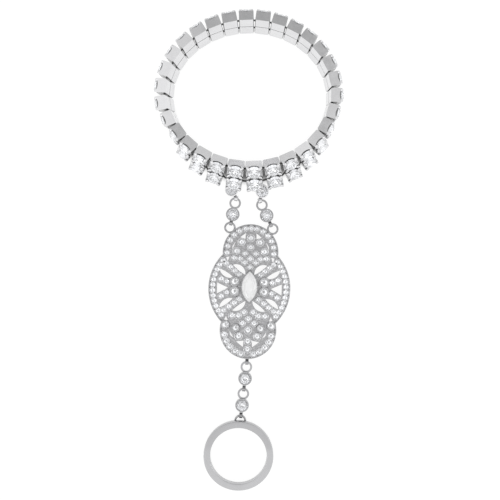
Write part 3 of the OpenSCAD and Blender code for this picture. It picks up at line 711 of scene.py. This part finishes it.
def row_frames():
    """Middle, directions, width and share of front of every link, as the solids have them"""
    s = sizes("row")
    rim_a, rim_b = row_oval()

    def weight(q):
        return max(0, math.cos(q)) ** 2

    def width_share(q):
        return 1 + s.front_grow * weight(q) + s.back_grow * max(0, -math.cos(q)) ** 2

    steps = 720
    table = [0.0]
    for k in range(steps):
        q = (k + 0.5) * 2 * math.pi / steps
        arc = math.hypot(rim_a * math.cos(q), rim_b * math.sin(q)) * 2 * math.pi / steps
        table.append(table[-1] + arc / width_share(q))
    frames = []
    for i in range(s.links):
        want = (i + 0.5 + s.shift) / s.links * table[-1]
        k = next(j for j in range(steps) if table[j + 1] >= want)
        q = (k + (want - table[k]) / (table[k + 1] - table[k])) * 2 * math.pi / steps
        lean = s.front_lean * weight(q) + s.back_lean * max(0, -math.cos(q)) ** 2
        lean += s.right_lean * max(0, math.sin(q)) ** 2 + s.left_lean * max(0, -math.sin(q)) ** 2
        out = math.atan2(-rim_a * math.cos(q), rim_b * math.sin(q))
        away = Vector((math.cos(out), math.sin(out), 0))
        up = Vector((0, 0, 1))
        rise = s.front_lift * weight(q) + s.link_h / 2 * math.cos(lean)
        rise += (s.cup_depth + s.prong_h) * max(0, -math.sin(lean))
        foot = Vector((rim_a * math.sin(q), -rim_b * math.cos(q), 0))
        mid = foot + s.link_h / 2 * abs(math.sin(lean)) * away + rise * up
        along = Vector((math.sin(out), -math.cos(out), 0))
        face = math.cos(lean) * away + math.sin(lean) * up
        high = -math.sin(lean) * away + math.cos(lean) * up
        width = (s.cup_w + s.gap) * width_share(q) - s.gap
        frames.append((mid, along, face, high, width, weight(q)))
    return frames


def cup_places(side):
    """Places of the stones of one row, above or below the links' middles"""
    s, stones = sizes("row"), sizes("stones")
    places = []
    for mid, along, face, high, width, front in row_frames():
        share = 1 + stones.front_more * front / stones.cup_stone_r
        girdle = mid + (s.cup_depth + stones.cup_stone_rise) * face + side * s.cup_pitch * high
        places.append((girdle, face, along, share))
    return places


def claw_places():
    """Places of the claws, one at each corner of every cup, the front ones a little longer"""
    s, stones = sizes("row"), sizes("stones")
    front_longer, wider = 0.25, 1.15
    places = []
    up = s.cup_h / 2 - stones.claw_in
    for mid, along, face, high, width, front in row_frames():
        rim = mid + (s.cup_depth + stones.claw_rise) * face
        share = (1.0 + front_longer * front, wider, 1.0)
        for cup, dx, du in itertools.product((-1, 1), repeat=3):
            corner = rim + (cup * s.cup_pitch + du * up) * high
            corner += dx * (width / 2 - stones.claw_in) * along
            places.append((corner, face, -dx * along - du * high, share))
    return places


# Places on the plaque

def to_plaque(point):
    """Moves a point of the unturned plaque to where the plaque lies"""
    s = sizes("plaque")
    return Matrix.Translation((s.aside, -s.away, 0)) @ Matrix.Rotation(s.angle, 4, "Z") @ Vector(point)


def sheet_place(x, y, level, share):
    """Place at a height above the bent plate, facing away from it"""
    s = sizes("plaque")
    slope = math.asin(x / (s.bend + s.thick))
    r = s.bend + s.thick + level
    point = to_plaque((r * math.sin(slope), y, s.bend_drop - s.bend + r * math.cos(slope)))
    spin = Matrix.Rotation(s.angle, 3, "Z")
    aim = spin @ Vector((math.sin(slope), 0, math.cos(slope)))
    side = spin @ Vector((math.cos(slope), 0, -math.sin(slope)))
    return (point, aim, side, share)


def lobe_place(lobe, x, y):
    """Turns shares of a lobe's size (middle, upper or lower) into lengths on the plaque"""
    s = sizes("plaque")
    middle = (0, s.upper_away, -s.lower_away)[lobe]
    size = (s.half_w, s.upper_r, s.lower_r)[lobe]
    return x * size, middle + y * size


# Rows on the middle lobe's ribbons: both ends, how many stones, and their share of the radius
RIBBON_ROWS = [(0.272, 0.34, 0.588, 0.6, 4, 1), (0.564, 0.156, 0.7, 0.22, 2, 1),
               (0.556, -0.108, 0.688, -0.204, 2, 1), (0.24, -0.268, 0.624, -0.544, 4, 1.05)]
# Single stones of the right half and on the axis: lobe, place, and share of the radius
SINGLE_STONES = [
    (0, 0.136, 0.632, 1), (0, 0.252, 0.72, 1), (0, 0.4, 0.736, 1), (0, 0.112, -0.576, 1.1),
    (0, 0.248, -0.664, 1.1), (0, 0.408, -0.668, 1.1), (1, 0.335, 0.35, 1.25), (1, 0.51, 0.025, 1.2),
    (1, 0.195, -0.06, 1), (2, 0.21, 0.245, 1.1), (2, 0.33, -0.21, 1.3)]
AXIS_STONES = [(0, 0, 0.52, 1), (1, 0, -0.245, 1.1), (1, 0, 0.17, 1.1), (1, 0, 0.5, 1.25), (1, 0, 0.85, 1),
               (2, 0, 0.405, 1.1), (2, 0, 0.01, 1.3), (2, 0, -0.385, 1.2), (2, 0, -0.665, 1.25)]


def pave_spots():
    """Every small stone of the plaque as x, y and a share of the small stone's radius"""
    s = sizes("plaque")
    rows = [(s.half_w - s.side_r, 0, s.side_r - s.border_in, -38, 38, 12, 1),
            (0, s.upper_away, s.upper_r - s.border_in, -3, 76, 6, 1),
            (0, -s.lower_away, s.lower_r - s.border_in, -12, -75, 5, 1.2)]
    half = []
    for x, y, r, first, last, count, share in rows:
        for k in range(count):
            a = math.radians(first + (last - first) * k / (count - 1))
            half.append((x + r * math.cos(a), y + r * math.sin(a), share))
    for x0, y0, x1, y1, count, share in RIBBON_ROWS:
        for k in range(count):
            t = k / (count - 1)
            half.append((*lobe_place(0, x0 + (x1 - x0) * t, y0 + (y1 - y0) * t), share))
    half += [(*lobe_place(lobe, x, y), share) for lobe, x, y, share in SINGLE_STONES]
    axis = [(*lobe_place(lobe, x, y), share) for lobe, x, y, share in AXIS_STONES]
    return half + [(-x, y, share) for x, y, share in half] + axis


def accent_spots():
    """Every accent as x, y and a share of the accents' radius: four by the marquise, four below"""
    s = sizes("plaque")
    x = s.marquise_w / 2 + s.marquise_wall + s.accent_r + s.accent_wall + s.accent_away
    apart = s.accent_r + s.accent_wall / 2
    half = [(x, s.marquise_up + apart, 1), (x, s.marquise_up - apart, 1),
            (*lobe_place(2, 0.44, 0.08), 0.8), (*lobe_place(2, 0.81, 0.18), 0.86)]
    return half + [(-px, y, share) for px, y, share in half]


# Operators

class JEWEL_OT_metal(bpy.types.Operator):
    """Gives the solids that stay their plated finishes"""

    bl_idname = "jewel.metal"
    bl_label = "Plate the solids"

    def execute(self, context):
        for name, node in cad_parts.items():
            if name.endswith("_elastic"):
                finish = elastic_finish()
            elif name == "plaque":
                finish = cast_finish()
            elif name == "finger_ring":
                finish = band_finish()
            elif name.endswith(("_connector", "_drop")):
                finish = chain_finish()
            else:
                finish = plate_finish()
            for slot in node.material_slots:
                slot.material = finish
        return {"FINISHED"}


class JEWEL_OT_cup_stones(bpy.types.Operator):
    """Sets a brilliant in every cup of both rows"""

    bl_idname = "jewel.cup_stones"
    bl_label = "Set the cup stones"

    def execute(self, context):
        stone = cut_stone("cup_brilliant", table=0.56, crown=0.38, girdle=0.05, pavilion=0.62)
        mark_foil(stone, below=-0.06)
        size = sizes("stones").cup_stone_r
        crystal, foil = crystal_finish(), foil_finish()
        for side, row in ((1, "upper"), (-1, "lower")):
            piece = set_on_points(row + "_row_brilliants", cup_places(side), stone, size, crystal, foil)
            finished(piece, "clear_crystal", row + "_row_stones")
        drop_source(stone)
        return {"FINISHED"}


class JEWEL_OT_claws(bpy.types.Operator):
    """Bends a claw from every corner of the cups over its stone"""

    bl_idname = "jewel.claws"
    bl_label = "Bend the claws"

    def execute(self, context):
        claw = bent_claw("claw")
        plate = plate_finish()
        piece = set_on_points("cup_claws", claw_places(), claw, sizes("stones").claw_h, plate, plate)
        drop_source(claw)
        finished(piece, "plated_metal")
        return {"FINISHED"}


class JEWEL_OT_chain_stones(bpy.types.Operator):
    """Sets the stones of the round bezels where their solids are"""

    bl_idname = "jewel.chain_stones"
    bl_label = "Set the chain's stones"

    def execute(self, context):
        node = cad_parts["connector_stones"]
        stones = sizes("stones")
        facet_way = Vector((0.8, 0.6, 0))
        places = []
        for island in mesh_islands(node.data):
            middle, aim = crown_and_aim(node.data, set(island))
            side = (facet_way - aim * aim.dot(facet_way)).normalized()
            places.append((middle - aim * stones.bezel_stone_sink, aim, side, 1.0))
        stone = cut_stone("bezel_brilliant", table=0.5, crown=0.36, girdle=0.04, pavilion=0.42)
        mark_foil(stone, below=-0.05)
        crystal, foil = crystal_finish(), chain_foil_finish()
        piece = set_on_points("chain_brilliants", places, stone, stones.bezel_stone_r, crystal, foil)
        drop_source(stone)
        finished(piece, "clear_crystal", "connector_stones")
        return {"FINISHED"}


class JEWEL_OT_plaque_stones(bpy.types.Operator):
    """Sets the plaque's small stones and accents, with their collars and grains"""

    bl_idname = "jewel.plaque_stones"
    bl_label = "Set the plaque's stones"

    def execute(self, context):
        s, stones = sizes("plaque"), sizes("stones")
        spots = pave_spots()
        small = cut_stone("small_brilliant", table=0.55, crown=0.42, girdle=0.05, pavilion=0.6)
        mark_foil(small, below=-0.06)
        crystal, foil = crystal_finish(), small_foil_finish()
        seats = [sheet_place(x, y, stones.pave_rise, share) for x, y, share in spots]
        piece = set_on_points("pave_brilliants", seats, small, stones.pave_r, crystal, foil)
        finished(piece, "clear_crystal", "pave_stones")

        places = [sheet_place(x, y, stones.accent_rise, share) for x, y, share in accent_spots()]
        size = s.accent_r + stones.accent_more
        piece = set_on_points("accent_brilliants", places, small, size, crystal, foil)
        finished(piece, "clear_crystal", "accent_stones")
        drop_source(small)

        rim = collar("rim")
        piece = set_on_points("plaque_collars", seats, rim, stones.pave_r, rim_finish(), rim_finish())
        finished(piece, "cast_metal")
        drop_source(rim)

        bead = grain_bead("grain")
        places = []
        for x, y, share in spots:
            r = stones.pave_r * share + stones.grain_out
            for degrees in (45, 135, 225, 315):
                a = math.radians(degrees)
                spot = sheet_place(x + r * math.cos(a), y + r * math.sin(a), stones.grain_rise, 1.0)
                places.append(spot)
        piece = set_on_points("plaque_grains", places, bead, stones.grain_r, cast_finish(), cast_finish())
        finished(piece, "cast_metal")
        drop_source(bead)
        return {"FINISHED"}


class JEWEL_OT_marquise(bpy.types.Operator):
    """Cuts the marquise of the plaque's middle"""

    bl_idname = "jewel.marquise"
    bl_label = "Cut the marquise"

    def execute(self, context):
        s, stones = sizes("plaque"), sizes("stones")
        count = 24
        girdle = 1
        levels = [  # shares of the length and width, height in mm, and shift along the outline
            (0.5, 0.45, -0.2, 0), (1, 1, 0.4, 0), (1, 1, 0.5, 0), (0.84, 0.8, 0.86, 0.5),
            (0.66, 0.58, 1.06, 0)]
        base = s.bend_drop + s.thick + stones.marquise_rise
        points = []
        for long, wide, z, shift in levels:
            l = (s.marquise_l + stones.marquise_more) * long
            w = (s.marquise_w + stones.marquise_more) * wide
            ring = marquise_outline(l, w, count, shift)
            points += [to_plaque((x, s.marquise_up + y, base + z * MM)) for x, y in ring]
        faces = [list(reversed(range(count)))]
        for i in range(len(levels) - 1):
            for k in range(count):
                n = (k + 1) % count
                a, b, c, d = i * count + k, i * count + n, (i + 1) * count + n, (i + 1) * count + k
                faces += [[a, b, c, d]] if i == girdle else [[a, b, d], [b, c, d]]
        faces.append(list(range(len(points) - count, len(points))))
        piece = mesh_piece("marquise_crystal", points, faces)
        piece.data.materials.append(milky_finish())
        piece.data.materials.append(foil_finish())
        foiled = 1 + 2 * count
        for face in piece.data.polygons:
            face.material_index = 1 if face.index < foiled else 0
        finished(piece, "clear_crystal", "marquise_stone")
        return {"FINISHED"}


class JEWEL_OT_finger_band(bpy.types.Operator):
    """Turns the finger ring's band and eyelet with eased edges"""

    bl_idname = "jewel.finger_band"
    bl_label = "Turn the finger band"

    def execute(self, context):
        s = sizes("ring")
        out = s.bore_r + s.wall
        points, faces = turned_ring(eased_box(s.bore_r, out, 0, s.height, s.edge), count=144)
        far_edge = Vector((0, out, 0))
        lift = Matrix.Translation(-far_edge) @ Matrix.Rotation(s.tilt, 4, "X") @ Matrix.Translation(far_edge)
        lay = Matrix.Translation((s.x, s.y, 0)) @ Matrix.Rotation(s.spin, 4, "Z") @ lift
        points = [lay @ p for p in points]
        wire = eased_box(s.eyelet_r - s.wire_w, s.eyelet_r, -s.wire_t / 2, s.wire_t / 2, s.wire_edge)
        more, rim = turned_ring(wire, count=40)
        faces += [[k + len(points) for k in face] for face in rim]
        points += [p + Vector((s.eyelet_x, s.eyelet_y, s.eyelet_z)) for p in more]
        piece = mesh_piece("finger_band", points, faces, smooth=True)
        piece.data.materials.append(band_finish())
        finished(piece, "brushed_band", "finger_ring")
        return {"FINISHED"}


def soft_room(tree):
    """White room with a dim strip overhead, from front to back, and a dimmer band low down all round"""
    join = tree.links.new
    place = add(tree, "ShaderNodeTexCoord")
    split = add(tree, "ShaderNodeSeparateXYZ")
    join(place.outputs["Generated"], split.inputs["Vector"])
    band = add(tree, "ShaderNodeValToRGB")
    stops = ((0.0, 1.0), (0.05, 0.95), (0.1, 0.72), (0.2, 0.76), (0.3, 1.12), (1.0, 1.12))
    ramp = band.color_ramp
    while len(ramp.elements) < len(stops):
        ramp.elements.new(0.5)
    for element, (place_z, value) in zip(ramp.elements, stops):
        element.position = place_z
        element.color = (value, value, value, 1)
    join(split.outputs["Z"], band.inputs["Fac"])

    middle = 0.04
    aside = worked(tree, "ABSOLUTE", worked(tree, "SUBTRACT", split.outputs["X"], middle), 0.0)
    across = soft_step(tree, aside, 0.08, 0.62, 1.0, 0.0)
    near = soft_step(tree, split.outputs["Y"], -0.15, 0.38, 0.0, 1.0)
    far = soft_step(tree, split.outputs["Y"], 0.8, 0.97, 1.0, 0.0)
    strip = worked(tree, "MULTIPLY", across, worked(tree, "MULTIPLY", near, far))
    left = soft_step(tree, strip, 0.0, 1.0, 1.0, 0.42)
    join(worked(tree, "MULTIPLY", band.outputs["Color"], left), tree.nodes["Background"].inputs["Strength"])
    tree.nodes["Background"].inputs["Color"].default_value = (1, 1, 1, 1)


def light_left(tree):
    """Share of light left on the surface, where the leaning front links take most of it away"""
    s = sizes("row")
    front_reach = 7.4 * MM
    clear = 0.2 * MM
    shade_reach = 12 * MM
    deepest = 0.93
    place = add(tree, "ShaderNodeTexCoord")
    split = add(tree, "ShaderNodeSeparateXYZ")
    tree.links.new(place.outputs["Object"], split.inputs["Vector"])

    def oval(half_x, half_y):
        x = worked(tree, "DIVIDE", split.outputs["X"], half_x)
        y = worked(tree, "DIVIDE", split.outputs["Y"], half_y)
        both = worked(tree, "ADD", worked(tree, "MULTIPLY", x, x), worked(tree, "MULTIPLY", y, y))
        return worked(tree, "SQRT", both, 0.0)

    rim_a, rim_b = row_oval()
    within = soft_step(tree, oval(rim_a + s.cup_depth, rim_b + front_reach), 0.88, 1.0, 1.0, 0.0)
    beyond = soft_step(tree, oval(rim_a + clear, rim_b + clear), 0.97, 1.12, 0.0, 1.0)
    front = soft_step(tree, split.outputs["Y"], -6 * MM, -1 * MM, 1.0, 0.0)
    near = add(tree, "ShaderNodeAmbientOcclusion", samples=8, Distance=shade_reach)
    hidden = soft_step(tree, near.outputs["AO"], 0.6, 1.0, 1.0, 0.0)
    shade = worked(tree, "MULTIPLY", within, beyond)
    for part in (worked(tree, "MULTIPLY", front, hidden), deepest):
        shade = worked(tree, "MULTIPLY", shade, part)
    return worked(tree, "SUBTRACT", 1.0, shade)


class JEWEL_OT_stage(bpy.types.Operator):
    """Lays the white surface and sets the soft light and the camera over it"""

    bl_idname = "jewel.stage"
    bl_label = "Set the stage"

    def execute(self, context):
        scene = context.scene
        scene.view_settings.view_transform = "Standard"
        w = 1.5
        corners = [(-w, -w, 0), (w, -w, 0), (w, w, 0), (-w, w, 0)]
        floor = mesh_piece("floor", corners, [[0, 1, 2, 3]])
        material, tree, shader = new_material("white_surface")
        shader.inputs["Roughness"].default_value = 0.9
        shader.inputs["Specular IOR Level"].default_value = 0.1
        noise = object_noise(tree, scale=40)
        surface = shades(tree, noise.outputs["Fac"], sizes("finishes").floor, dark=0.995)
        # Painted shadow on the floor under the leaning front links: its colour and its glow are both lowered
        # there
        light = light_left(tree)
        glow = 0.9
        tone = add(tree, "ShaderNodeVectorMath", operation="SCALE")
        tree.links.new(surface, tone.inputs[0])
        tree.links.new(soft_step(tree, light, 0.0, 1.0, 0.7, 1.0), tone.inputs["Scale"])
        tree.links.new(tone.outputs["Vector"], shader.inputs["Base Color"])
        shader.inputs["Emission Color"].default_value = (1, 1, 1, 1)
        tree.links.new(worked(tree, "MULTIPLY", light, glow), shader.inputs["Emission Strength"])
        floor.data.materials.append(material)

        world = bpy.data.worlds.new("soft_room")
        scene.world = world
        world.use_nodes = True
        soft_room(world.node_tree)
        lit_spot = Vector((0, -0.05, 0))
        for name, where in (("left_softbox", (-0.4, -0.25, 0.4)), ("right_softbox", (0.4, -0.1, 0.45))):
            lamp = bpy.data.lights.new(name, "AREA")
            lamp.size = 0.12
            lamp.energy = 0.16
            box = bpy.data.objects.new(name, lamp)
            scene.collection.objects.link(box)
            box.location = where
            box.rotation_euler = (lit_spot - Vector(where)).to_track_quat("-Z", "Y").to_euler()

        camera = bpy.data.cameras.new("camera")
        camera.angle = math.radians(29.07)
        camera.clip_start = 0.005
        eye = bpy.data.objects.new("camera", camera)
        scene.collection.objects.link(eye)
        eye.location = (0, -0.0471, 0.3)
        scene.camera = eye
        return {"FINISHED"}


class JEWEL_PT_panel(bpy.types.Panel):
    """Lists the bracelet's sizes and steps"""

    bl_label = "Hand chain bracelet"
    bl_idname = "JEWEL_PT_panel"
    bl_space_type = "VIEW_3D"
    bl_region_type = "UI"
    bl_category = "Bracelet"

    def draw(self, context):
        for label, kind in GROUPS.items():
            box = self.layout.box()
            box.label(text=kind.__doc__)
            for key in kind.__annotations__:
                box.prop(getattr(context.scene, "jewel_" + label), key)
        for step in STEPS:
            self.layout.operator(step.bl_idname)


GROUPS = {"row": RowSizes, "stones": StoneSizes, "plaque": PlaqueSizes, "ring": RingSizes,
          "finishes": Finishes}
STEPS = [JEWEL_OT_metal, JEWEL_OT_cup_stones, JEWEL_OT_claws, JEWEL_OT_chain_stones,
         JEWEL_OT_plaque_stones, JEWEL_OT_marquise, JEWEL_OT_finger_band, JEWEL_OT_stage]


def register():
    for kind in [*GROUPS.values(), *STEPS, JEWEL_PT_panel]:
        bpy.utils.register_class(kind)
    for label, kind in GROUPS.items():
        setattr(bpy.types.Scene, "jewel_" + label, PointerProperty(type=kind))


def unregister():
    for label in GROUPS:
        delattr(bpy.types.Scene, "jewel_" + label)
    for kind in reversed([*GROUPS.values(), *STEPS, JEWEL_PT_panel]):
        bpy.utils.unregister_class(kind)


def main():
    register()
    bpy.ops.jewel.metal()
    bpy.ops.jewel.cup_stones()
    bpy.ops.jewel.claws()
    bpy.ops.jewel.chain_stones()
    bpy.ops.jewel.plaque_stones()
    bpy.ops.jewel.marquise()
    bpy.ops.jewel.finger_band()
    bpy.ops.jewel.stage()


if __name__ == "__main__":
    main()
